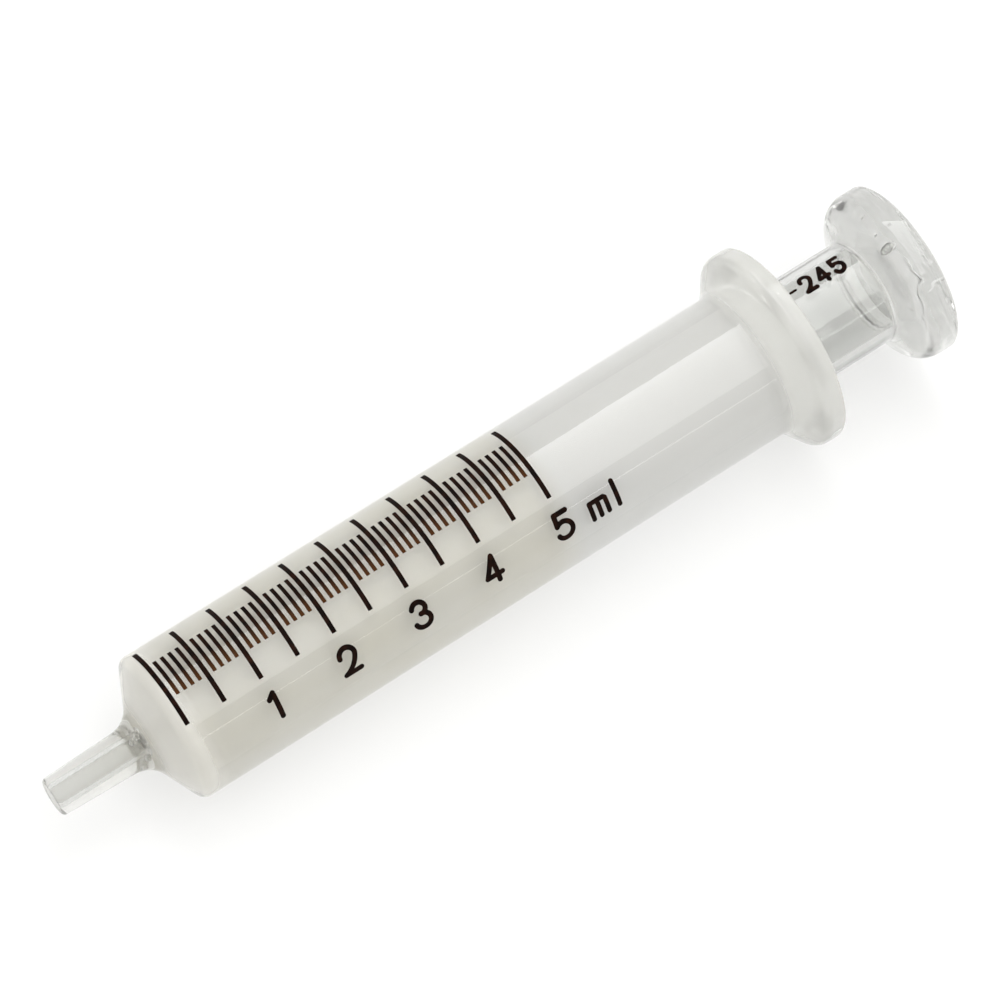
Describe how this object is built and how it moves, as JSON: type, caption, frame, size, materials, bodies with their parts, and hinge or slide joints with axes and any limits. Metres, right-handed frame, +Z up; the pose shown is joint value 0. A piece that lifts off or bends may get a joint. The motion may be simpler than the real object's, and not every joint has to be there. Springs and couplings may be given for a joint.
{
  "type": "oral syringe",
  "caption": "Reusable all-glass syringe with a slip nozzle, a rolled finger flange, a fired scale to 5 ml and a sliding ground-glass plunger with a thumb knob.",
  "frame": {"origin": "on the surface that the syringe lies on, under its axis, midway between the nozzle's tip and the thumb knob's rear face with the plunger fully in", "axes": "+X along the axis from the nozzle's tip to the thumb knob, +Z up, away from the surface it lies on"},
  "size_m": [0.1024, 0.0222, 0.0222],
  "materials": {
    "barrel_glass": "fire polished outside, finely ground and milky in the bore",
    "plunger_glass": "finely ground and milky as far as the neck, clear and fire polished on the stem and knob",
    "brown_enamel": "fired ceramic enamel, dark brown, satin"
  },
  "bodies": {
    "barrel": {"barrel_tube": "barrel_glass", "finger_flange": "barrel_glass", "nozzle": "barrel_glass", "half_ml_lines": "brown_enamel", "tenth_ml_lines": "brown_enamel", "numeral_1": "brown_enamel", "numeral_2": "brown_enamel", "numeral_3": "brown_enamel", "numeral_4": "brown_enamel", "numeral_5": "brown_enamel", "unit_mark": "brown_enamel"},
    "plunger": {"plunger_tube": "plunger_glass", "plunger_front": "plunger_glass", "plunger_stem": "plunger_glass", "thumb_knob": "plunger_glass", "pair_number": "brown_enamel"}
  },
  "joints": [
    {"name": "plunger_slide", "type": "slide", "parent": "barrel", "child": "plunger", "axis": [1, 0, 0], "range_m": [0, 0.04208]}
  ]
}
